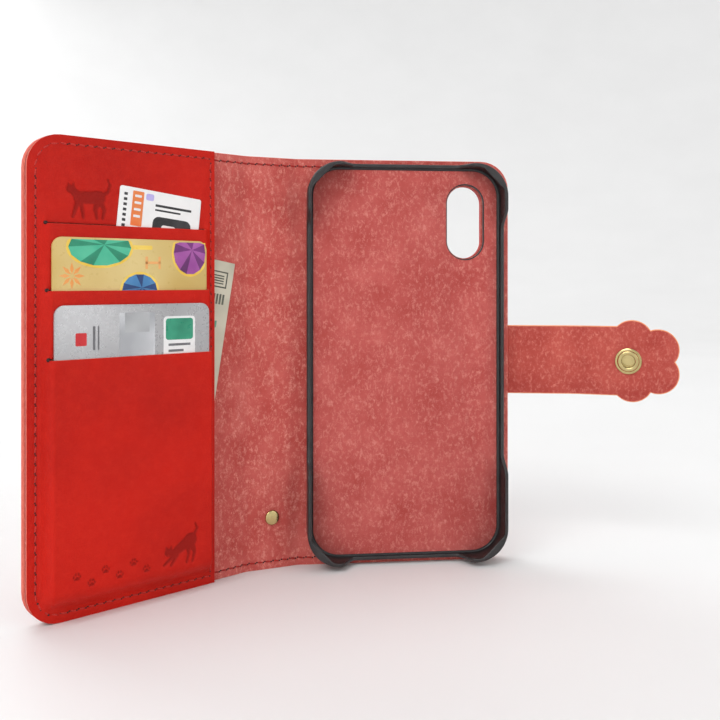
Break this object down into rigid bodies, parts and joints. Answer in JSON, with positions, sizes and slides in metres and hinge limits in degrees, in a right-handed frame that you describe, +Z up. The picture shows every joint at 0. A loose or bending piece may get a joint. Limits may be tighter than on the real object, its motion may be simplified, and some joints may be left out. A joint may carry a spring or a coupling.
{
  "type": "phone wallet case",
  "caption": "Leather folio for a phone: hard tray in the back half, slit card pockets in the front half, folding spine with a D-ring, and a flower-ended snap strap.",
  "frame": {"origin": "middle of the back cover's bottom edge, in its length and its thickness", "axes": "+Z up along the case's height, +Y out of the back cover's outer face, +X from the spine towards the strap"},
  "size_m": [0.2256, 0.0598, 0.15],
  "materials": {
    "leather": "smooth full-grain, satin",
    "suede": "raw flesh side, matt",
    "pocket_cloth": "matt",
    "thread": "waxed",
    "brass": "polished",
    "tray_plastic": "satin",
    "bond_film": "adhesive film",
    "ticket": "printed",
    "card_gold": "laminated",
    "card_silver": "laminated",
    "banknote": "printed"
  },
  "bodies": {
    "back_half": {"back_cover": "leather", "back_lining": "suede", "back_seam_lower": "thread", "back_seam_upper": "thread", "tray_bond_pad": "bond_film", "phone_tray": "tray_plastic", "tray_lining": "suede", "strap_root": "leather", "strap_root_thread": "thread"},
    "spine": {"spine_cover": "leather", "spine_lining": "suede", "ring_tab": "leather", "tab_rivet": "brass"},
    "front_half": {"front_cover": "leather", "front_lining": "suede", "front_seam_thread": "thread", "pocket_backing": "pocket_cloth", "pocket_panel": "leather", "pocket_seam_thread": "thread", "card_pocket_1": "pocket_cloth", "card_pocket_2": "pocket_cloth", "card_pocket_3": "pocket_cloth", "snap_stud": "brass", "snap_post": "brass"},
    "ring": {"d_ring": "brass"},
    "strap_middle": {"strap_edge": "leather"},
    "strap_end": {"strap_tip": "leather", "snap_cap": "brass", "snap_socket": "brass"},
    "ticket": {"ticket": "ticket"},
    "upper_card": {"card_gold": "card_gold"},
    "lower_card": {"card_silver": "card_silver"},
    "note": {"banknote": "banknote"}
  },
  "joints": [
    {"name": "spine_fold", "type": "hinge", "parent": "back_half", "child": "spine", "pos_m": [-0.04, -0.0008, 0], "axis": [0, 0, 1], "range_deg": [-17.5, 72.5]},
    {"name": "cover_fold", "type": "hinge", "parent": "spine", "child": "front_half", "pos_m": [-0.05879, -0.00672, 0], "axis": [0, 0, 1], "range_deg": [-17.5, 72.5]},
    {"name": "strap_fold", "type": "hinge", "parent": "back_half", "child": "strap_middle", "pos_m": [0.0406, 0.0011, 0], "axis": [0, 0, -1], "range_deg": [-12, 78]},
    {"name": "strap_end_fold", "type": "hinge", "parent": "strap_middle", "child": "strap_end", "pos_m": [0.06544, -0.00418, 0], "axis": [0, 0, -1], "range_deg": [-12, 78]},
    {"name": "ring_swing", "type": "hinge", "parent": "spine", "child": "ring", "pos_m": [-0.05066, 0.00024, 0.0105], "axis": [-0.9537, -0.3007, 0], "range_deg": [-80, 8]},
    {"name": "ticket_slide", "type": "slide", "parent": "front_half", "child": "ticket", "axis": [0, 0, -1], "range_m": [-0.03, 0]},
    {"name": "upper_card_slide", "type": "slide", "parent": "front_half", "child": "upper_card", "axis": [0, 0, -1], "range_m": [-0.04, 0]},
    {"name": "lower_card_slide", "type": "slide", "parent": "front_half", "child": "lower_card", "axis": [0, 0, -1], "range_m": [-0.04, 0]},
    {"name": "note_slide", "type": "slide", "parent": "front_half", "child": "note", "axis": [-0.8192, -0.5736, 0], "range_m": [-0.0035, 0.0075]}
  ],
  "couplings": [
    {"joint": "cover_fold", "follows": "spine_fold", "ratio": 1},
    {"joint": "strap_end_fold", "follows": "strap_fold", "ratio": 1}
  ]
}
